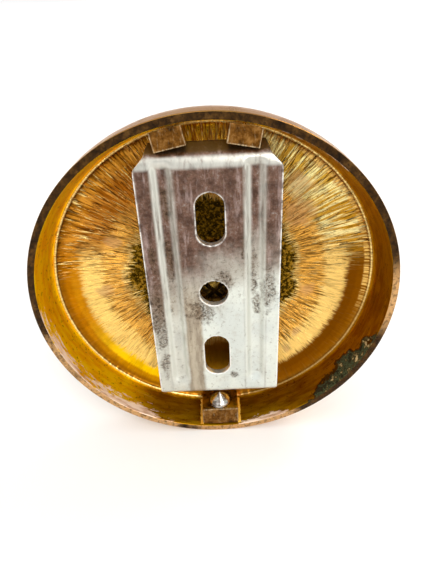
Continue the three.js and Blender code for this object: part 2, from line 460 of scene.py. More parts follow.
insideFinish = {
    "dark": "6a3c02", "gold": "eab04a", "line": "241400", "glint": "ffe694", "edgeTint": "ffd890",
    "wallLight": "ffd400", "wallDark": "f2ae00", "shadedLight": "a87606", "shadedDark": "7c4e02",
    "scratch": "ffdc7c", "gouge": "5a3804", "pit": "4a2e06", "bead": "fbe091", "tooth": "f2c46a",
    "shadeByBead": "a86404", "litWindowDark": "b06400", "litWindowLight": "ffc420",
    "olive": "543e04", "oliveDark": "2c1e00", "fleck": "b88a28", "fringe": "b9802c",
    "bare": "ffe6d0", "bareDark": "d2a888", "stain": "cfa47c", "stainDark": "8f6438", "dirt": "2e281b",
    "rust": ((0.36, "2e281b"), (0.45, "1e1c12"), (0.51, "505c40"), (0.55, "26251a"), (0.6, "6a5a34"),
             (0.68, "e0c48c")),
    "middleRadius": 17.9, "beadRadius": 32.75,
    "brushes": {
        "coarse": {"fineness": 30.0, "length": 130.0, "contrast": 0.14},
        "fine": {"fineness": 85.0, "length": 330.0, "contrast": 0.13, "seed": 7.0},
        "bold": {"fineness": 38.0, "length": 75.0, "contrast": 0.06, "seed": 41.0},
        "lines": {"fineness": 105.0, "length": 270.0, "middle": 0.6, "contrast": 0.05, "seed": 13.0},
        "glints": {"fineness": 95.0, "length": 300.0, "middle": 0.61, "contrast": 0.05, "seed": 29.0},
        "chatter": {"fineness": 75.0, "length": 60.0, "contrast": 0.08, "seed": 3.0},
    },
    # broad zones of the spun bowl where painted reflections and painted shade lie: ring and half width in
    # mm, clock and half spread in degrees, tone, amount
    "lightAndShadeZones": (
        (30.2, 2.1, -98, 24, "cc8400", 0.95), (30.0, 2.2, -142, 24, "ffc800", 1.0),
        (29.9, 1.9, -68, 18, "b87408", 0.8), (25.9, 2.5, -114, 42, "ffd678", 0.9),
        (26.4, 3.6, -46, 26, "9a5204", 0.8), (30.6, 1.6, -44, 22, "d8901c", 0.6),
        (21.6, 2.0, -92, 60, "ffc058", 0.7), (28.2, 4.0, 40, 24, "ffe06a", 0.95),
        (29.0, 2.8, 74, 16, "e8ac2c", 0.75), (30.1, 2.1, 118, 40, "6e3c00", 1.0),
        (25.8, 2.5, 112, 38, "f6cc74", 0.92), (21.4, 2.4, 92, 60, "fab850", 0.75),
        (24.0, 5.0, 180, 22, "482800", 1.0), (22.5, 5.0, -168, 7.5, "c48e10", 0.9),
        (19.5, 1.6, 178, 14, "9a6610", 0.8), (24.5, 3.4, -30, 16, "c06c04", 0.8),
        (31.4, 1.1, -118, 50, "b46c00", 0.8), (31.4, 1.0, 122, 40, "7c4600", 0.8)),
    # the same for painted reflections, with a dark and a light tone
    "boldReflectionZones": ((28.6, 4.4, 40, 36, "b87e12", "fff6b4", 0.72),
                  (27.8, 4.6, -40, 32, "743c02", "e8a444", 0.42)),
    # clock, distance from the axis and size in mm
    "stains": ((41, 26.2, 3.0), (52, 22.6, 3.2), (48, 27.6, 1.4), (104, 20.6, 1.8), (142, 26.2, 1.3),
               (131, 24.0, 1.3), (-96, 24.2, 1.6), (-66, 22.0, 1.6)),
    "stainDepth": -10.5,
    # patches that run in from the rim: clock, half spread, softness, depth and ragged reach in mm
    "barePatches": ((-126, 30, 0.07, 1.3, 14.0), (-144, 8, 0.02, 2.4, 9.0), (163, 7, 0.012, 1.3, 9.0),
                    (28, 12, 0.02, 0.3, 9.0)),
    "rustPatch": (126, 11, 0.05, 4.4, 9.0), "rustOutline": (126, 12.5, 0.05, 4.9, 9.0),
}


def roseInsideMaterial():
    look = insideFinish
    material, shader, where = newMaterial("lacqueredBrassInside")
    radius = aroundAxis(where)[0] * 1000.0
    brush = {name: useGroup(radialBrush, where, **look["brushes"][name]) for name in look["brushes"]}

    # the calm and the still parts of the bowl lie low down, where the streaks die away
    calm = ringBand(where, 27.9, 3.6, 180, 92, 0.12).either(ringBand(where, 22.0, 4.0, 180, 20))
    still = ringBand(where, 31.0, 3.0, 180, 96, 0.12).either(ringBand(where, 23.0, 6.0, 180, 24))
    streak = brush["fine"] * 0.6 + brush["coarse"] * 0.4
    streak = mixValue((calm * 0.42).either(still * 0.86), streak, 0.6)
    shift = (streak - 0.5) * (2.4 * mm)
    # the dark and gold streak tones are partly real brush marks and partly painted reflections
    dish = mixColour(streak, look["dark"], look["gold"])
    # painted reflections and painted shade, each zone with a darker copy of its tone in the dark streaks
    for ring, width, clock, spread, code, amount in look["lightAndShadeZones"]:
        mask = ringBand(where, ring, width, clock, spread, shift=shift)
        shaded = tuple(value * 0.3 for value in tone(code)[:3]) + (1.0,)
        dish = mixColour(mask * amount, dish, mixColour(ease(streak, 0.0, 0.55), shaded, code))
    # painted reflections with streaks of their own
    for ring, width, clock, spread, dark, light, amount in look["boldReflectionZones"]:
        mask = ringBand(where, ring, width, clock, spread, shift=shift)
        dish = mixColour(mask * amount, dish, mixColour(brush["bold"], dark, light))
    cloudy = noiseValue(vectorMath("ADD", where, (0.01, 0.0, 0.02)), 330.0, 4.0, 0.6)
    dish = mixColour(ease(cloudy, 0.4, 0.66, 0.0, 0.3) * still, dish, look["dark"])
    # painted shade darkens the dish towards the foot of the wall by the bead
    shadeByBead = ease(radius + shift * 700.0, 31.0, 32.0, 0.0, 0.8)
    dish = mixColour(shadeByBead, dish, mixColour(streak, look["line"], look["shadeByBead"]))
    # painted light: the bowl seen between the lugs gets a brighter, more golden tone
    litWindow = mixColour(ease(streak, 0.2, 0.7), look["litWindowDark"], look["litWindowLight"])
    dish = mixColour(ringBand(where, 30.4, 4.2, 0, 11), dish, litWindow)

    # duller pink stains
    stains = anyOf([useGroup(roundPatch, where, centre=clockPoint(clock, ring * mm, look["stainDepth"] * mm),
                             radius=size * mm, ragged=0.9, grain=300.0)
                    for clock, ring, size in look["stains"]])
    dish = mixColour(stains * 0.55, dish, mixColour(streak, look["stainDark"], look["stain"]))
    calm = stains.either(calm * 0.9).either(still * 1.12)
    glints = brush["glints"] * (1.0 - still * 0.95)
    dish = mixColour(brush["lines"] * mixValue(calm, 0.8, 0.15), dish, look["line"])
    dish = mixColour(glints * mixValue(calm, 0.8, 0.35), dish, look["glint"])

    # dull olive middle with gold flecks
    mottle = noiseValue(where, 900.0, 5.0, 0.7)
    flecks = useGroup(speckle, where, grain=1600.0, amount=0.42, soft=0.05)
    middleColour = mixColour(ease(mottle, 0.4, 0.62), look["oliveDark"], look["olive"])
    middleColour = mixColour(flecks * 0.75, middleColour, look["fleck"])
    edge = radius + (streak - 0.5) * 2.2 + (noiseValue(where, 220.0, 3.0) - 0.5) * 5.0
    middle = ease(edge, look["middleRadius"] + 0.5, look["middleRadius"] - 0.5)
    fringe = ease(edge, look["middleRadius"] + 1.9, look["middleRadius"] + 0.9) * 0.7
    dish = mixColour(fringe, dish, mixColour(brush["fine"], look["fringe"], look["glint"]))
    colour = mixColour(middle, dish, middleColour)

    # drafted wall outside the bead
    around = stretched(where, 1, 5, 1)
    wallNoise = noiseValue(around, 190.0, 5.0, 0.62)
    patchy = ease(wallNoise, 0.36, 0.62)
    shadeSide = ringBand(where, 34.0, 3.0, 116, 96, 0.14) * 0.85
    onWall = ease(radius, look["beadRadius"] + 0.2, look["beadRadius"] + 0.35)
    scratch = noiseValue(stretched(where, 0.35, 9, 0.35), 420.0, 4.0, 0.7)
    pits = useGroup(speckle, where, grain=1250.0, amount=0.22, soft=0.04)
    wall = mixColour(patchy, look["wallDark"], look["wallLight"])
    wall = mixColour(shadeSide, wall, mixColour(patchy, look["shadedDark"], look["shadedLight"]))
    wall = mixColour(ease(scratch, 0.62, 0.7) * 0.5, wall, look["scratch"])
    wall = mixColour(ease(scratch, 0.38, 0.3) * 0.55, wall, look["gouge"])
    wall = mixColour(pits * 0.6, wall, look["pit"])
    colour = mixColour(onWall, colour, wall)

    # bright turned bead with tool chatter, wider on one side; the bead's pale crest is partly a painted
    # highlight, dimmed by painted shade on the lower right
    bead = ease((radius - (look["beadRadius"] + 0.02)).away(), 0.36, 0.14) * (brush["chatter"] * 0.35 + 0.6)
    bead = bead * ease(ringBand(where, 32.7, 1.5, 140, 42, 0.2), 0.0, 1.0, 1.0, 0.4)
    colour = mixColour(bead, colour, look["bead"])
    teeth = ringBand(where, 32.0, 0.6, 66, 36, 0.1, 0.3, 900.0) * brush["chatter"]
    colour = mixColour(teeth * 0.85, colour, look["tooth"])

    # scraped bare metal and a corroded patch that run in from the rim
    depth = separate(where)[1]

    def fromRim(uneven, clock, spread, soft, deepest, reach):
        along = ringBand(where, 34.4, 2.2, clock, spread, soft, 0.2, 300.0)
        inside = ease(depth + along * (deepest * mm) - uneven * (reach * mm), -0.12 * mm, 0.12 * mm)
        return inside * onWall * ease(along, 0.02, 0.1)

    frayed = noiseValue(around, 260.0, 6.0, 0.75) - 0.5
    bare = anyOf([fromRim(frayed, *patch) for patch in look["barePatches"]])
    colour = mixColour(bare, colour, mixColour(ease(wallNoise, 0.34, 0.6), look["bareDark"], look["bare"]))
    blotch = noiseValue(where, 230.0, 5.0, 0.62) - 0.5
    rust = fromRim(blotch, *look["rustPatch"])
    colour = mixColour(fromRim(blotch, *look["rustOutline"]) * 0.8, colour, look["dirt"])
    colour = mixColour(rust, colour, colourRamp(noiseValue(where, 520.0, 4.0, 0.7), look["rust"]))

    rough = mixValue(streak, 0.38, 0.24)
    rough = mixValue(middle, rough, 0.45)
    rough = mixValue(onWall, rough, mixValue(wallNoise, 0.3, 0.42))
    rough = mixValue(stains.either(bare), rough, 0.45)
    rough = mixValue(rust, rough, 0.75)
    metal = mixValue(onWall, 0.97, mixValue(shadeSide, 0.7, 0.95))
    metal = mixValue(bare, metal, 0.5)
    metal = mixValue(rust, metal, 0.3)
    smoother = (calm * 0.6).either(still * 0.9)
    brushed = (1.0 - onWall) * (1.0 - middle.either(smoother))
    height = (streak + glints - brush["lines"]) * brushed
    height = height + mottle * middle * 1.2 + scratch * onWall * 0.6 + rust * mottle * 2.0
    feed(shader, baseColor=colour, roughness=rough, metallic=metal, edgeTint=look["edgeTint"],
         normal=bumpNormal(height, 0.07))
    return material


rimFinish = {
    "tarnish": ((0.32, "1c1208"), (0.5, "412a10"), (0.72, "6c4c24")), "pit": "1c1208",
    "bareDark": "b88c52", "bareLight": "e0b07c", "ring": 35.4, "width": 1.6,
    # clock, half spread and raggedness
    "barePatches": ((92, 11, 0.25), (-142, 22, 1.6), (166, 15, 0.8), (180, 9, 1.2), (-112, 8, 1.6)),
}


def rimMaterial():
    look = rimFinish
    material, shader, where = newMaterial("tarnishedRim")
    mottle = noiseValue(where, 520.0, 5.0, 0.65)
    bare = anyOf([ringBand(where, look["ring"], look["width"], clock, spread, 0.02, ragged, 380.0)
                  for clock, spread, ragged in look["barePatches"]])
    pits = useGroup(speckle, where, grain=1300.0, amount=0.4, soft=0.05)
    colour = colourRamp(mottle, look["tarnish"])
    colour = mixColour(bare, colour, mixColour(mottle, look["bareDark"], look["bareLight"]))
    colour = mixColour(pits * 0.55, colour, look["pit"])
    feed(shader, baseColor=colour, roughness=mixValue(bare, 0.5, 0.3), metallic=0.9,
         normal=bumpNormal(mottle - pits, 0.04))
    return material


# edge is the tone of the painted shade towards the brass's outline
polishFinish = {"light": "e2b056", "deep": "a06c22", "rosy": "d99c50", "edge": "6e400c", "smear": "a87838",
                "edgeTint": "f6e2d0", "roughness": 0.14, "smearRoughness": 0.3}


def polishedBrassMaterial():
    look = polishFinish
    material, shader, where = newMaterial("polishedBrass")
    lines = useGroup(spunLines, where, fineness=5200.0)
    cloud = noiseValue(where, 60.0, 4.0, 0.6)
    smear = noiseValue(stretched(where, 1, 1, 0.35), 320.0, 5.0, 0.7)
    spots = useGroup(speckle, where, grain=1500.0, amount=0.16, soft=0.05)
    facing = Value(addNode(where.tree, "ShaderNodeLayerWeight", {"Blend": 0.42}).outputs["Facing"])
    colour = mixColour(ease(cloud, 0.38, 0.64), look["light"], look["rosy"])
    colour = mixColour(spots * 0.5, colour, look["deep"])
    colour = mixColour(ease(smear, 0.5, 0.75) * 0.3, colour, look["smear"])
    colour = mixColour(ease(lines, 0.4, 0.7) * 0.22, colour, look["deep"])
    # painted shade: the brass darkens towards its outline as seen from the camera
    colour = mixColour(ease(facing, 0.12, 0.9, 0.0, 0.6), colour, look["edge"])
    rough = mixValue(ease(smear, 0.4, 0.7), look["roughness"], look["smearRoughness"])
    feed(shader, baseColor=colour, roughness=rough, metallic=1.0, edgeTint=look["edgeTint"],
         normal=bumpNormal(lines + smear * 0.4, 0.008))
    return material


zincFinish = {
    "lowerTone": "dde1d8", "middle": "b5b0a4", "upper": "775a4c", "upperLight": "a58f88", "upperDark": "4e382e",
    "grime": "66513c", "dark": "2f2318", "edge": "fbfaf4", "tan": "86725a", "tanLight": "b3a48c",
    "slopeHighlight": "d9dad0", "veil": "c3c9c6", "sheltered": "58492c",
    # x, z and size in mm, and how much a stain is drawn out along z
    "stains": ((-1.8, 4.4, 2.0, 1), (2.6, -1.6, 2.6, 0.8), (11.2, -4.0, 2.2, 0.3), (-10.6, 2.0, 1.5, 0.35),
               (-7.6, 5.0, 0.9, 0.2), (-8.4, -1.0, 0.8, 0.3), (-6.3, 11.0, 0.8, 0.3), (8.2, 9.0, 1.0, 0.2),
               (7.8, 20.0, 0.8, 0.2), (11.0, 10.0, 0.8, 0.25), (-3.6, -18.9, 0.9, 1),
               (11.0, -15.0, 1.0, 0.3)),
}


def zincMaterial():
    look = zincFinish
    material, shader, where = newMaterial("zincPlatedSheet")
    x, _, z = [part * 1000.0 for part in separate(where)]
    wave = noiseValue(where, 150.0, 3.0, 0.6) - 0.5
    grain = noiseValue(where, 2300.0, 4.0, 0.7)
    coarse = noiseValue(where, 1500.0, 4.0, 0.75)
    cloud = noiseValue(where, 420.0, 5.0, 0.7)
    faint = noiseValue(where, 95.0, 3.0, 0.6)
    drawn = noiseValue(stretched(where, 1, 1, 0.18), 700.0, 4.0, 0.65)

    # the zinc is pale low down and darker and browner towards the top and towards +x, with a paler veil
    # between
    upperTone = mixColour(ease(cloud, 0.36, 0.64), look["upperDark"], look["upper"])
    upperTone = mixColour(ease(drawn, 0.5, 0.74), upperTone, look["upperLight"])
    low = mixColour(ease(faint, 0.45, 0.62) * 0.5, look["lowerTone"], look["veil"])
    low = mixColour(ease(cloud, 0.52, 0.7) * 0.45, low, look["middle"])
    height = z + x * 0.45 + wave * 14.0
    colour = mixColour(ease(height, -3.0, 4.5), low, look["middle"])
    colour = mixColour(ease(height, 3.0, 13.0), colour, upperTone)
    flank = ease(x.away(), 9.7, 10.1) * ease(height, -1.0, 5.0)
    colour = mixColour(flank * 0.8, colour, upperTone)
    wavyX = x + wave * 3.0
    lowStain = ease(wavyX, 2.2, 3.2) * ease(wavyX, 6.6, 5.8, 0.35) * ease(z, 7.0, -2.0)
    stained = mixColour(ease(drawn, 0.36, 0.62), look["tan"], look["tanLight"])
    colour = mixColour(lowStain * 0.85, colour, stained)

    # stains and specks
    stains = anyOf([useGroup(roundPatch, where, centre=(cx * mm, 0, cz * mm), stretch=(1, 0, along),
                             radius=size * mm, ragged=0.9, grain=420.0)
                    for cx, cz, size, along in look["stains"]])
    specks = useGroup(speckle, where, grain=1500.0, amount=0.4, soft=0.05)
    everywhere = useGroup(speckle, where, grain=1100.0, amount=0.24, soft=0.04)
    soiled = stains * specks
    colour = mixColour(stains * ease(grain, 0.35, 0.62, 0.2, 0.8), colour, look["grime"])
    colour = mixColour(soiled * 0.62, colour, look["dark"])
    colour = mixColour(everywhere * 0.4, colour, look["grime"])
    darker = ease(height, -6.0, 5.0, 0.1, 0.42)
    colour = mixColour(ease(coarse, 0.5, 0.68) * darker, colour, look["dark"])
    paler = darker * ease(cloud, 0.5, 0.62, 0.15, 0.7)
    colour = mixColour(ease(coarse, 0.5, 0.34) * paler, colour, look["veil"])

    # rubbed edges are paler as wear and as painted highlight, the groove slopes and top bend carry painted
    # highlights, and the top lip under the lugs is darkened as painted shade
    foot = meshMask(where, "grooveFoot") * ease(drawn, 0.35, 0.7, 0.05, 0.5)
    slopeHighlight = meshMask(where, "grooveSlope") * ease(drawn, 0.3, 0.55, 0.35, 0.95)
    worn = meshMask(where, "wornEdge") * ease(cloud, 0.38, 0.56, 0.15, 0.9)
    colour = mixColour(foot, colour, look["grime"])
    colour = mixColour(slopeHighlight, colour, look["slopeHighlight"])
    colour = mixColour(worn, colour, look["edge"])
    colour = mixColour(meshMask(where, "sheltered") * 0.85, colour, look["sheltered"])

    rough = mixValue(stains, mixValue(cloud, 0.24, 0.44), 0.5)
    relief = cloud * 0.8 + grain * 0.6 + drawn * 0.5 - soiled * 0.8
    feed(shader, baseColor=colour, roughness=rough, metallic=0.85, normal=bumpNormal(relief, 0.022))
    return material


brazedFinish = {
    "tarnish": ((0.34, "33200c"), (0.5, "6c4519"), (0.68, "9c703a")), "scratch": "94805f", "worn": "e0c9a0",
    "sideDark": "6b4506", "sideGold": "dc9c18", "beadDark": "e09c20", "bead": "ffd460",
}


def brazedMaterial():
    # tarnished where it was ground level with the rim, gold lacquer on the sides
    look = brazedFinish
    material, shader, where = newMaterial("brazedBrass")
    mottle = noiseValue(where, 620.0, 5.0, 0.65)
    scratches = noiseValue(stretched(where, 1.0, 0.2, 0.25), 2600.0, 3.0, 0.7)
    colour = colourRamp(mottle, look["tarnish"])
    colour = mixColour(ease(scratches, 0.55, 0.7) * 0.5, colour, look["scratch"])
    side = mixColour(ease(mottle, 0.35, 0.65), look["sideDark"], look["sideGold"])
    colour = mixColour(meshMask(where, "groundFace"), side, colour)
    worn = meshMask(where, "wornEdge") * ease(scratches, 0.4, 0.6, 0.1, 0.7)
    colour = mixColour(worn, colour, look["worn"])
    # the brazed fillets are painted bright gold, partly their own metal and partly a painted highlight
    filletShine = meshMask(where, "brazeBead")
    colour = mixColour(filletShine, colour, mixColour(ease(mottle, 0.3, 0.6), look["beadDark"], look["bead"]))
    feed(shader, baseColor=colour, roughness=mixValue(mottle, 0.3, 0.5), metallic=mixValue(filletShine, 1.0, 0.3),
         normal=bumpNormal(mottle + scratches, 0.03))
    return material


steelFinish = {
    "brightSteel": {"light": "dcd8d2", "deep": "8a8078", "roughness": 0.18},
    # the dull steel is dark partly as painted shade in the bore, and golden as a painted reflection of the
    # brass round it
    "shadedDullSteel": {"light": "4a3716", "deep": "a8863c", "roughness": 0.32},
    "dirt": "3a2d1d", "roughnessSpread": 0.16,
}


def turnedSteelMaterial(name):
    look = steelFinish[name]
    material, shader, where = newMaterial(name)
    mottle = noiseValue(where, 900.0, 4.0, 0.6)
    dirt = useGroup(speckle, where, grain=1500.0, amount=0.36, soft=0.05)
    colour = mixColour(ease(mottle, 0.4, 0.64), look["light"], look["deep"])
    colour = mixColour(dirt * 0.5, colour, steelFinish["dirt"])
    rough = mixValue(mottle, look["roughness"], look["roughness"] + steelFinish["roughnessSpread"])
    feed(shader, baseColor=colour, roughness=rough, metallic=1.0, normal=bumpNormal(mottle, 0.015))
    return material


roseInside = roseInsideMaterial()
tarnishedRim = rimMaterial()
polishedBrass = polishedBrassMaterial()
zincSheet = zincMaterial()
brazedBrass = brazedMaterial()
brightSteel = turnedSteelMaterial("brightSteel")
shadedDullSteel = turnedSteelMaterial("shadedDullSteel")
print("materials made")

# rose shell

roseLow, roseHigh = boxOf("rose_shell")
rose = {
    "radius": roseHigh.x, "depth": -roseLow.y, "rimWidth": 1.4, "straight": 2.5,
    "shoulderRadius": 34.2, "shoulderDepth": 9.0, "beadRadius": 33.0, "beadDepth": 7.7, "beadHeight": 0.32,
    "dishDepth": 13.0, "hubRadius": 7.0, "hubDepth": 11.0, "hubFoot": 0.9, "boreRadius": 2.8,
    "seatRadius": 8.8, "seatEdge": 9.2, "screwBore": 2.8, "screwBoreInset": 2.0, "steps": 900,
    "longest": 0.8, "sharpAngle": 40,
    # tool chatter: how far inside the bead, over what width and down to which depth
    "chatterDepth": 0.14, "chatterGrain": 62, "chatterInset": 0.5, "chatterWidth": 0.9,
    "chatterLowest": -8.6,
    # brush marks: radii where they set in, and distances from the bead where they end
    "brushDepth": 0.045, "brushGrain": 44, "brushAlong": 0.3, "brushStart": (16.5, 19.5),
    "brushEnd": (1.4, 0.8),
}


def dishAt(radius, depth, edgeRadius, edgeDepth):
    return -depth + (depth - edgeDepth) * (radius / edgeRadius) ** 2


def innerDish(radius):
    return dishAt(radius, rose["dishDepth"], rose["beadRadius"], rose["beadDepth"])


def roseProfile():
    r = rose
    wide, beadR, beadD = r["radius"], r["beadRadius"], r["beadDepth"]
    foot = r["hubRadius"] + r["hubFoot"]
    corners = [(r["boreRadius"], -r["hubDepth"], 0.25), (r["hubRadius"], -r["hubDepth"], 0.5),
               (foot, innerDish(foot), 0.8)]
    for radius in np.linspace(foot, beadR - 0.75, 24)[1:]:
        corners.append((radius, innerDish(radius), 0))
    crest = -beadD + r["beadHeight"]
    corners += [(beadR - 0.42, crest - 0.12, 0.2), (beadR - 0.15, crest, 0.2),
                (beadR + 0.12, crest - 0.16, 0.1), (beadR + 0.28, -beadD + 0.5, 0.15)]
    corners += [(wide - r["rimWidth"], 0, 0.18), (wide, 0, 0.22), (wide, -r["straight"], 0.5)]

    # the shoulder is one curve from the straight side to the domed front
    start = np.array((wide, -r["straight"]))
    end = np.array((r["shoulderRadius"], -r["shoulderDepth"]))
    leave, arrive = start + (0, -3.4), end + (1.2, 1.3)
    for k in range(1, 15):
        t = k / 14
        point = (1 - t) ** 3 * start + 3 * (1 - t) ** 2 * t * leave
        point += 3 * (1 - t) * t ** 2 * arrive + t ** 3 * end
        corners.append((point[0], point[1], 0))
    for radius in np.linspace(r["shoulderRadius"], r["seatEdge"], 22)[1:]:
        corners.append((radius, dishAt(radius, r["depth"], r["shoulderRadius"], r["shoulderDepth"]), 0))
    corners += [(r["seatRadius"], -r["depth"], 0.3), (r["boreRadius"], -r["depth"], 0.25)]
    return subdivided(softCorners(corners, closed=True), r["longest"])


def markRose(shell):
    # tool chatter beside the bead, and brush marks in the dish
    r = rose
    beadR = r["beadRadius"]
    points = coordinates(shell)
    depth = points[:, 1].copy()
    radius = np.hypot(points[:, 0], points[:, 2])
    angle = np.arctan2(points[:, 0], points[:, 2])
    fromChatter = np.abs(radius - (beadR - r["chatterInset"]))
    near = np.clip(1 - fromChatter / r["chatterWidth"], 0, 1) * (depth > r["chatterLowest"])
    ring = [Vector((math.cos(a), math.sin(a), 0)) for a in angle]
    ripple = np.array([noise.noise(spot * r["chatterGrain"] + Vector((0, 0, 0.3))) for spot in ring])
    points[:, 1] += near * ripple * r["chatterDepth"]
    endFrom, endTo = r["brushEnd"]
    onDish = smoothStep(radius, *r["brushStart"]) * (1 - smoothStep(radius, beadR - endFrom, beadR - endTo))
    onDish *= points[:, 1] > innerDish(radius) - 0.5
    for i in np.nonzero(onDish)[0]:
        mark = ring[i] * r["brushGrain"] + Vector((0, 0, radius[i] * r["brushAlong"]))
        points[i, 1] += noise.noise(mark) * onDish[i] * r["brushDepth"]
    moveTo(shell, points)


def buildRose():
    r = rose
    shell = turned("roseShell", roseProfile(), r["steps"], closed=True)
    markRose(shell)
    low, high = boxOf("set_screw")
    place = (0, (low.y + high.y) / 2, r["screwBoreInset"] - r["radius"])
    carve(shell, [boreCutter(r["screwBore"], -8.0, 0.5, place)])
    smoothShade(shell, r["sharpAngle"])
    finishPiece(shell, [roseInside, tarnishedRim, polishedBrass], "rose", "lacquered_brass", "rose_shell")
    for face in shell.data.polygons:
        x, depth, z = face.center / mm
        radius = math.hypot(x, z)
        outward = (face.normal.x * x + face.normal.z * z) / radius - face.normal.y
        if depth > -0.06 and radius > r["radius"] - r["rimWidth"] - 0.1:
            face.material_index = 1
        elif outward > 0.3 and (radius > r["beadRadius"] + 1.0 or depth < innerDish(radius) - 0.9):
            face.material_index = 2
        else:
            face.material_index = 0
    print("rose shell:", len(shell.data.polygons), "faces")


buildRose()

# wall bracket

bracketHalf = boxOf("wall_bracket")[1].x
bracket = {
    "half": bracketHalf, "sheet": 1.5, "centre": 1.95, "webHalf": 24.4, "bendAngle": 49.0,
    "topBend": 4.0, "topLip": 2.15, "bottomBend": 2.0, "bottomLip": 3.8,
    "slotWidth": 5.2, "slotHeight": 10.1, "slotSpacing": 15.45, "holeRadius": 2.75,
    "grooveDepth": 0.95, "grooveEdges": (5.95, 7.4, 8.77, 10.0),
    # distances past the top and short of the bottom bend over which the grooves fade
    "fadeTop": (0.3, 1.9), "fadeBottom": (0.8, 3.6),
    # distance past each bend, and the half width there
    "topWidths": ((0.5, bracketHalf), (2.6, 10.9), (5.0, 9.8)),
    "bottomWidths": ((6.0, 10.4), (4.2, 10.4), (2.9, 11.6), (0.9, bracketHalf)),
    "bendStep": 0.2, "lipStep": 0.4, "grid": 0.42, "voxel": 0.2, "smooth": 3,
    # distances from an edge or a line over which its mask falls away
    "rubbedHoles": (0.08, 0.34), "rubbedSides": (0.1, 0.35), "footLine": (0.03, 0.22),
}
webTop = bracket["centre"] + bracket["webHalf"]
webBottom = bracket["centre"] - bracket["webHalf"]


def bentEnd(start, radius, lip, up):
    # the wall side of one bent end, from the flat web outwards: (y, z, tilt)
    tilt = math.radians(bracket["bendAngle"])
    stations = [(0.0, start, 0.0)]
    steps = max(6, int(radius * tilt / bracket["bendStep"]))
    for k in range(1, steps + 1):
        a = tilt * k / steps
        stations.append((-radius * (1 - math.cos(a)), start + up * radius * math.sin(a), up * a))
    y, z, _ = stations[-1]
    steps = max(3, int(lip / bracket["lipStep"]))
    for k in range(1, steps + 1):
        d = lip * k / steps
        stations.append((y - d * math.sin(tilt), z + up * d * math.cos(tilt), up * tilt))
    return stations


def bracketPath():
    b = bracket
    lower = bentEnd(webBottom, b["bottomBend"], b["bottomLip"], -1)
    upper = bentEnd(webTop, b["topBend"], b["topLip"], 1)
    steps = int(2 * b["webHalf"] / b["grid"])
    web = [(0.0, webBottom + (webTop - webBottom) * k / steps, 0.0) for k in range(1, steps)]
    return lower[::-1] + web + upper


def grooveAt(x, z):
    b = bracket
    edges = b["grooveEdges"]
    across = smoothStep(np.abs(x), edges[0], edges[1]) * (1 - smoothStep(np.abs(x), edges[2], edges[3]))
    fade = 1 - smoothStep(z, webTop + b["fadeTop"][0], webTop + b["fadeTop"][1])
    return across * fade * smoothStep(z, webBottom + b["fadeBottom"][0], webBottom + b["fadeBottom"][1])


def halfWidthAt(z):
    # straight sides, cut back towards both bent ends
    places = [(webBottom - away, half) for away, half in bracket["bottomWidths"]]
    places += [(webTop + away, half) for away, half in bracket["topWidths"]]
    return np.interp(z, [place[0] for place in places], [place[1] for place in places])


def capsule(half, straight, centreZ, steps=14):
    outline = []
    for up in (1, -1):
        for k in range(steps + 1):
            a = math.pi * k / steps
            outline.append((up * half * math.cos(a), centreZ + up * (straight + half * math.sin(a))))
    return outline


def bracketPlate():
    b = bracket
    columns = int(2 * b["half"] / b["grid"])
    stations = bracketPath()
    sheets = ([], [])
    for y, z, tilt in stations:
        half = float(halfWidthAt(z))
        for c in range(columns + 1):
            x = half * (2 * c / columns - 1)
            sink = b["grooveDepth"] * float(grooveAt(x, z))
            for sheet, deep in zip(sheets, (sink, sink + b["sheet"])):
                sheet.append((x, y - math.cos(tilt) * deep, z - math.sin(tilt) * deep))
    count = len(sheets[0])
    wide = columns + 1
    last = (len(stations) - 1) * wide
    faces = []
    for row in range(0, last, wide):
        for a in range(row, row + columns):
            faces.append((a, a + 1, a + wide + 1, a + wide))
            faces.append((count + a, count + a + wide, count + a + wide + 1, count + a + 1))
    for row in range(0, last, wide):
        a, z = row, row + columns
        faces.append((a, a + wide, count + a + wide, count + a))
        faces.append((z, count + z, count + z + wide, z + wide))
    for c in range(columns):
        faces.append((c, count + c, count + c + 1, c + 1))
        faces.append((last + c, last + c + 1, count + last + c + 1, count + last + c))
    return addObject("wallBracket", sheets[0] + sheets[1], faces)


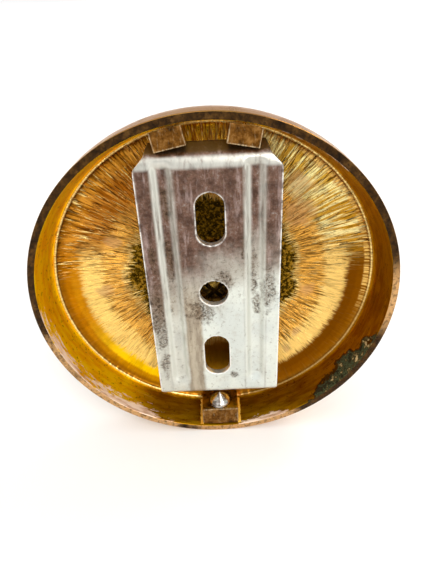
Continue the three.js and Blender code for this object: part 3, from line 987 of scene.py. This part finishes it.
def buildBracket():
    b = bracket
    plate = bracketPlate()
    half = b["slotWidth"] / 2
    straight = b["slotHeight"] / 2 - half
    # centre height, straight part, half width and steps of each opening
    openings = [(b["centre"] - b["slotSpacing"], straight, half, 14),
                (b["centre"] + b["slotSpacing"], straight, half, 14),
                (b["centre"], 0.0001, b["holeRadius"], 20)]
    carve(plate, [prism("openingCut", capsule(size, reach, centreZ, steps), -4, 2, "y")
                  for centreZ, reach, size, steps in openings])
    remeshed(plate, b["voxel"], b["smooth"])

    # masks for the finish: edges paler as wear and as painted highlight, painted highlights on the groove
    # slopes, stronger where they face one way, and on the top bend, and painted shade on the bent end that
    # sits under the lugs
    x, y, z = coordinates(plate).T
    fromOpening = np.full(len(x), 9.0)
    for centreZ, reach, size, steps in openings:
        away = np.hypot(x, np.maximum(np.abs(z - centreZ) - reach, 0)) - size
        fromOpening = np.minimum(fromOpening, np.abs(away))
    fromSide = halfWidthAt(z) - np.abs(x)
    kept = np.minimum(smoothStep(fromOpening, *b["rubbedHoles"]), smoothStep(fromSide, *b["rubbedSides"]))
    rise = (grooveAt(x - 0.3, z) - grooveAt(x + 0.3, z)) / 0.45
    slopeHighlight = np.clip(rise, 0, 1) + 0.5 * np.clip(-rise, 0, 1)
    bend = smoothStep(z, webTop + 0.1, webTop + 0.9) * (1 - smoothStep(z, webTop + 2.0, webTop + 2.7))
    foot = np.zeros(len(x))
    for line in (b["grooveEdges"][0] - 0.1, b["grooveEdges"][3] + 0.15):
        foot = np.maximum(foot, 1 - smoothStep(np.abs(np.abs(x) - line), *b["footLine"]))
    foot *= 1 - smoothStep(z, webTop - 0.5, webTop + 0.5)
    storeMasks(plate, wornEdge=1 - kept, grooveSlope=np.maximum(slopeHighlight, bend * 0.8), grooveFoot=foot,
               sheltered=smoothStep(z, webTop + 2.4, webTop + 3.2))
    smoothShade(plate)
    finishPiece(plate, [zincSheet], "bracket", "zinc_steel", "wall_bracket")
    print("wall bracket:", len(plate.data.polygons), "faces")


buildBracket()

# hanger lugs and screw boss

lug = {"angle": 11.3, "voxel": 0.11, "smooth": 3, "edge": 0.28, "dents": 0.05, "grain": 0.7}
boss = {"half": 4.15, "bore": 2.47, "voxel": 0.11, "smooth": 3, "dents": 0.06, "grain": 0.6, "fillet": 0.95}


def dressedCopy(nodeName, name):
    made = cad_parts[nodeName].copy()
    made.data = made.data.copy()
    made.name = name
    made.data.name = name
    made.parent = None
    for key in list(made.keys()):
        del made[key]
    scene.collection.objects.link(made)
    return made


def roughened(target, look):
    # a new even mesh, with a slightly uneven face, and its points
    remeshed(target, look["voxel"], look["smooth"])
    points = coordinates(target)
    for i, point in enumerate(points):
        points[i, 1] += noise.noise(Vector(point) * look["grain"]) * look["dents"]
    moveTo(target, points)
    return points


def buildLug(side, name, nodeName):
    made = dressedCopy(nodeName, name)
    x, y, z = roughened(made, lug).T
    angle = math.radians(lug["angle"]) * side
    across = np.abs(x * math.cos(angle) - z * math.sin(angle))
    outward = x * math.sin(angle) + z * math.cos(angle)
    fromEdge = np.minimum(across.max() - across, outward - outward.min())
    worn = (1 - smoothStep(fromEdge, lug["edge"] * 0.5, lug["edge"])) * smoothStep(y, -0.6, -0.1)
    storeMasks(made, groundFace=smoothStep(y, -0.35, -0.15), wornEdge=worn)
    smoothShade(made)
    finishPiece(made, [brazedBrass], "rose", "tarnished_brass", nodeName)


def wallRadiusAt(depth):
    # the drafted inner wall between the bead and the rim
    inner = rose["radius"] - rose["rimWidth"]
    return inner + (inner - rose["beadRadius"] - 0.25) * depth / (rose["beadDepth"] - 0.3)


def ringFaces(first, ring, steps):
    # a closed strip of faces through steps + 1 rings of points, with a face over each end
    faces = []
    for k in range(steps):
        for j in range(ring):
            a, b = first + k * ring + j, first + k * ring + (j + 1) % ring
            faces.append((a, b, b + ring, a + ring))
    faces.append(tuple(range(first, first + ring)))
    faces.append(tuple(range(first + steps * ring, first + (steps + 1) * ring)))
    return faces


def buildFillets():
    # a hollow bead of brazing metal where each side of the boss meets the wall
    steps, arc = 26, 5
    points, faces = [], []
    for side in (-1, 1):
        faces += ringFaces(len(points), arc + 2, steps)
        for k in range(steps + 1):
            depth = -0.45 - (rose["beadDepth"] - 1.0) * k / steps
            reach = boss["fillet"] * (0.75 + 0.35 * noise.noise(Vector((side * 3.0, depth * 1.7, 0.0))))
            x, wall = boss["half"] - 0.12, wallRadiusAt(depth) - 0.02
            section = [(x, 0.0)]
            for j in range(arc + 1):
                a = math.pi / 2 * j / arc
                section.append((x + reach * (1 - math.sin(a)), reach * (1 - math.cos(a))))
            for across, up in section:
                points.append((side * across, depth, up - math.sqrt(wall ** 2 - across ** 2)))
    made = addObject("bossFillets", points, faces)
    storeMasks(made, groundFace=np.zeros(len(points)), brazeBead=np.ones(len(points)))
    smoothShade(made, 60)
    finishPiece(made, [brazedBrass], "rose", "tarnished_brass")


def buildBoss():
    # a plain block of the same outline, drilled to fit the set screw closely
    made = dressedCopy("screw_boss", "screwBoss")
    work = bmesh.new()
    work.from_mesh(made.data)
    hull = bmesh.ops.convex_hull(work, input=work.verts)["geom"]
    kept = {item for item in hull if isinstance(item, bmesh.types.BMFace)}
    bmesh.ops.delete(work, geom=[face for face in work.faces if face not in kept], context="FACES")
    bmesh.ops.delete(work, geom=[vert for vert in work.verts if not vert.link_faces], context="VERTS")
    work.to_mesh(made.data)
    work.free()
    low, high = boxOf("set_screw")
    place = ((low.x + high.x) / 2, (low.y + high.y) / 2, boxOf("screw_boss")[1].z)
    carve(made, [boreCutter(boss["bore"], -8.0, 8.0, place)])
    x, y, z = roughened(made, boss).T
    height = y - np.interp(z, [z.min(), z.max()], [-0.25, -0.75])
    fromEdge = np.minimum(boss["half"] - np.abs(x), z.max() - z)
    worn = (1 - smoothStep(fromEdge, 0.15, 0.4)) * smoothStep(height, -0.7, -0.1)
    storeMasks(made, groundFace=smoothStep(height, -0.35, -0.12), wornEdge=worn * 0.6)
    smoothShade(made)
    finishPiece(made, [brazedBrass], "rose", "tarnished_brass", "screw_boss")


buildLug(-1, "hangerLugLeft", "hanger_lug_left")
buildLug(1, "hangerLugRight", "hanger_lug_right")
buildBoss()
buildFillets()
print("lugs and boss made")

# screws and washers

setScrew = {"radius": 2.4, "pitch": 0.8, "threadDepth": 0.32, "socket": 1.25, "socketDepth": 2.5,
            "longest": 0.11}


def threaded(target, top, bottom, radius, pitch, depth):
    # a helical thread between two heights on the Y axis
    points = coordinates(target)
    r = np.hypot(points[:, 0], points[:, 2])
    turn = np.arctan2(points[:, 0], points[:, 2]) / (2 * math.pi)
    height = points[:, 1]
    wave = np.abs(((height / pitch - turn) % 1) * 2 - 1)
    inside = smoothStep(height, bottom, bottom + pitch) * (1 - smoothStep(height, top - pitch, top))
    cut = depth * np.clip(1 - wave * 1.15, 0, 1) * inside * (r > radius - 0.02)
    scale = np.where(r > 1e-6, (r - cut) / np.maximum(r, 1e-6), 1)
    points[:, 0] *= scale
    points[:, 2] *= scale
    moveTo(target, points)


def buildSetScrew():
    s = setScrew
    low, high = boxOf("set_screw")
    wide, length = s["radius"], high.z - low.z
    tip = wide - 0.25
    corners = [(0, 0, 0), (wide - 0.35, 0, 0.1), (wide, 0.35, 0.1), (wide, length - tip - 0.5, 0.25),
               (wide - 0.15, length - tip, 0.12), (0.3, length - 0.28, 0.25), (0, length, 0)]
    screw = turned("setScrew", subdivided(softCorners(corners), s["longest"]), 96)
    threaded(screw, length - tip - 0.1, 0.5, wide, s["pitch"], s["threadDepth"])
    angles = [math.radians(60 * k) for k in range(6)]
    hexagon = [(s["socket"] * math.cos(a), s["socket"] * math.sin(a)) for a in angles]
    carve(screw, [placed(prism("socketCut", hexagon, -1, s["socketDepth"], "z"), (0, 0, 0), -90, "X")])
    placed(screw, (0, (low.y + high.y) / 2, low.z), 90, "X")
    smoothShade(screw, 42)
    finishPiece(screw, [brightSteel], "grub_screw", "bright_steel", "set_screw")


clampScrew = {"headRadius": 4.75, "headHeight": 3.4, "shankRadius": 2.5, "pitch": 0.8, "threadDepth": 0.35,
              "threadGap": 6.5, "recessHalf": 2.3, "recessWidth": 0.95, "recessDepth": 2.0,
              "recessTurns": (45, 135), "longest": 0.14}


def buildClampScrew():
    c = clampScrew
    low, high = boxOf("clamp_screw")
    top, bottom = high.y, low.y
    under = top - c["headHeight"]
    head, shank = c["headRadius"], c["shankRadius"]
    corners = [(0, bottom, 0), (shank - 0.6, bottom, 0.1), (shank, bottom + 0.8, 0.2), (shank, under, 0.15),
               (head - 0.1, under, 0.25), (head, under + 0.9, 1.0), (head - 0.9, top - 0.55, 1.2),
               (head - 2.6, top, 1.0), (0, top, 0)]
    screw = turned("clampScrew", subdivided(softCorners(corners, steps=6), c["longest"]), 72)
    threaded(screw, under - c["threadGap"], bottom + 0.3, shank, c["pitch"], c["threadDepth"])
    half, thick, deep = c["recessHalf"], c["recessWidth"], top - c["recessDepth"]
    outline = [(-half, top + 1), (half, top + 1), (half, top - 0.15), (thick, deep), (-thick, deep),
               (-half, top - 0.15)]
    carve(screw, [placed(prism("recessArm", outline, -thick / 2, thick / 2, "z"), (0, 0, 0), turn, "Y")
                  for turn in c["recessTurns"]])
    smoothShade(screw, 42)
    finishPiece(screw, [shadedDullSteel], "rose", "dark_steel", "clamp_screw")


# the spring washer's open gap in degrees, and how far its ends stand apart and lean
washers = {"bore": 2.85, "gapAngle": 15.0, "springSteps": 88, "lift": 0.2, "lean": 0.1}


def buildWashers():
    w = washers
    low, high = boxOf("flat_washer")
    top, bottom = high.y, low.y
    corners = [(w["bore"], bottom, 0.15), (high.x, bottom, 0.3), (high.x, top, 0.18), (w["bore"], top, 0.3)]
    washer = turned("flatWasher", softCorners(corners, closed=True), 96, closed=True)
    smoothShade(washer)
    finishPiece(washer, [shadedDullSteel], "rose", "dark_steel", "flat_washer")

    # one open turn of square wire, its ends a little out of line
    low, high = boxOf("spring_washer")
    thick = high.y - low.y
    half = thick / 2
    section = softCorners([(w["bore"], -half, 0.15), (high.x, -half, 0.15), (high.x, half, 0.15),
                           (w["bore"], half, 0.15)], closed=True, steps=3)
    gap = math.radians(w["gapAngle"])
    points = []
    for k in range(w["springSteps"] + 1):
        share = k / w["springSteps"]
        lift = high.y - half + (share - 0.5) * w["lift"]
        for radius, y in section:
            angle = gap / 2 + (2 * math.pi - gap) * share + y / thick * w["lean"]
            points.append((radius * math.sin(angle), y + lift, radius * math.cos(angle)))
    spring = addObject("springWasher", points, ringFaces(0, len(section), w["springSteps"]))
    smoothShade(spring, 50)
    finishPiece(spring, [shadedDullSteel], "rose", "dark_steel", "spring_washer")


buildSetScrew()
buildClampScrew()
buildWashers()
print("screws and washers made")

# collar, stem and knob on the front

front = {
    "collarBore": 5.3, "stemRadius": 5.0, "waist": 1.7, "taper": 0.4, "spigot": 2.6, "bore": 2.8,
    "drillEnd": -29.0, "drillEdge": -27.5, "steps": 144,
    # radius and distance from the back of the knob, up to the middle of its face
    "knobGuide": ((6.1, 0), (6.5, 0.05), (7.4, 0.6), (9.9, 2.4), (None, 5.2), (10.35, 8.4), (7.4, 10.6),
                  (3.6, 11.35)),
    "lineRadius": 8.2, "lineWidth": 0.22, "lineDepth": 0.18,
}


def turnedFront(name, profile, sharpAngle, nodeName, closed=False):
    made = turned(name, profile, front["steps"], closed)
    smoothShade(made, sharpAngle)
    finishPiece(made, [polishedBrass], "rose", "polished_brass", nodeName)


def buildCollar():
    low, high = boxOf("stem_collar")
    bore, seat, edge, far = front["collarBore"], high.y, high.x, low.y
    corners = [(bore, seat, 0.1), (bore, far, 0.15), (edge - 3.2, far, 0.45), (edge - 2.7, far + 0.8, 0.3),
               (edge - 2.2, far + 0.95, 0.15), (edge - 1.9, seat - 2.15, 0.9),
               (edge - 0.75, seat - 1.6, 0.25), (edge - 0.55, seat - 1.35, 0.12),
               (edge, seat - 1.15, 0.45), (edge - 0.1, seat - 0.2, 0.3), (edge - 0.4, seat, 0.2)]
    profile = subdivided(softCorners(corners, closed=True), 0.6)
    turnedFront("stemCollar", profile, 60, "stem_collar", closed=True)
    return high.y - low.y


def buildStem(collarHeight):
    # a waisted stem with a spigot in the knob, drilled from the rose's side
    f = front
    low, high = boxOf("hook_stem")
    seat, tip = high.y, low.y
    end = boxOf("hook_knob")[1].y + 0.3
    waistTop = seat - collarHeight - 0.4
    corners = [(f["bore"], seat, 0.15), (f["stemRadius"], seat, 0.2), (f["stemRadius"], waistTop, 0.2)]
    for k in range(1, 25):
        t = k / 24
        radius = f["stemRadius"] - f["waist"] * math.sin(math.pi * t) ** 2 - f["taper"] * t
        corners.append((radius, waistTop + (end - waistTop) * t, 0.25 if k == 24 else 0))
    corners += [(f["spigot"], end, 0.1), (f["spigot"], tip, 0.3), (0, tip, 0)]
    drilled = [(0, f["drillEnd"]), (f["bore"], f["drillEdge"]), (f["bore"], seat - 0.2)]
    turnedFront("hookStem", np.vstack([softCorners(corners), drilled]), 50, "hook_stem", closed=True)
    return tip


def catmull(knots, steps):
    # a smooth line through the knots, up to the last one
    padded = np.vstack([2 * knots[0] - knots[1], knots, [[-knots[-2][0], knots[-2][1]]]])
    line = []
    for i in range(1, len(padded) - 2):
        p0, p1, p2, p3 = padded[i - 1:i + 3]
        for k in range(steps):
            t = k / steps
            line.append(0.5 * (2 * p1 + (p2 - p0) * t + (2 * p0 - 5 * p1 + 4 * p2 - p3) * t ** 2
                               + (3 * p1 - p0 - 3 * p2 + p3) * t ** 3))
    return np.array(line)


def buildKnob(stemTip):
    # a hollow for the spigot, and a fine turned line round the face
    f = front
    low, high = boxOf("hook_knob")
    back, wide = high.y, high.x
    hollow = f["spigot"] + 0.3
    corners = [(0, stemTip - 0.3, 0), (hollow, stemTip - 0.3, 0.1), (hollow, back, 0.15)]
    knots = np.array([(wide if r is None else r, back - away) for r, away in f["knobGuide"]] + [(0, low.y)])
    smooth = [(r, y) for r, y in catmull(knots, 8) if r > 1e-4] + [(0, low.y)]
    profile = np.vstack([softCorners(corners, steps=3), smooth])
    profile[:, 0] = np.clip(profile[:, 0], 0, wide)
    line = np.exp(-((profile[:, 0] - f["lineRadius"]) / f["lineWidth"]) ** 2) * (profile[:, 1] < back - 6)
    profile[:, 1] += f["lineDepth"] * line
    turnedFront("hookKnob", profile, 60, "hook_knob")


buildKnob(buildStem(buildCollar()))
print("front made")

# floor, light and camera

stage = {
    "floorHalf": 20000.0, "floorTone": "fbfaf8", "floorGrain": "f6f4f1", "worldLow": 1.0, "worldHigh": 0.5,
    "cameraPlace": (-1.264, 79.069, 51.928), "cameraTurn": (58.406, 2.465, 179.163),
    "lens": 30.14, "sensor": 36.0,
}
# direction the light comes from, its angular size in degrees, its strength and its colour
suns = {
    "frontSun": ((-0.42, 0.80, 0.62), 34, 1.8, (1.0, 0.985, 0.96)),
    "topSun": ((0.25, 0.25, 1.0), 60, 0.9, (1.0, 1.0, 1.0)),
    "backSun": ((-0.62, -0.42, 0.72), 26, 0.8, (1.0, 0.97, 0.93)),
}


def buildStage():
    half = stage["floorHalf"]
    corners = [(x, y, roseLow.z) for x, y in ((-half, -half), (half, -half), (half, half), (-half, half))]
    floor = addObject("floor", corners, [(0, 1, 2, 3)])
    material, shader, where = newMaterial("paperFloor")
    grain = noiseValue(where, 40.0, 3.0, 0.6)
    feed(shader, baseColor=mixColour(grain * 0.3, stage["floorTone"], stage["floorGrain"]), roughness=0.85)
    floor.data.materials.append(material)

    for name, (direction, angle, strength, colour) in suns.items():
        lamp = bpy.data.lights.new(name, "SUN")
        lamp.angle = math.radians(angle)
        lamp.energy = strength
        lamp.color = colour
        holder = bpy.data.objects.new(name, lamp)
        holder.rotation_mode = "QUATERNION"
        holder.rotation_quaternion = Vector(direction).to_track_quat("Z", "Y")
        scene.collection.objects.link(holder)

    world = bpy.data.worlds.new("studio")
    scene.world = world
    world.use_nodes = True
    tree = world.node_tree
    height = separate(Value(tree.nodes.new("ShaderNodeTexCoord").outputs["Generated"]))[2]
    background = tree.nodes["Background"].inputs
    connect(ease(height, 0.02, 0.5, stage["worldLow"], stage["worldHigh"]), background["Strength"])
    connect((1.0, 1.0, 1.0, 1.0), background["Color"])

    camera = bpy.data.cameras.new("camera")
    camera.lens = stage["lens"]
    camera.sensor_width = stage["sensor"]
    camera.clip_start = mm
    holder = bpy.data.objects.new("camera", camera)
    holder.location = [value * mm for value in stage["cameraPlace"]]
    holder.rotation_euler = [math.radians(value) for value in stage["cameraTurn"]]
    scene.collection.objects.link(holder)
    scene.camera = holder
    scene.view_settings.view_transform = "Standard"


buildStage()
print("stage made")
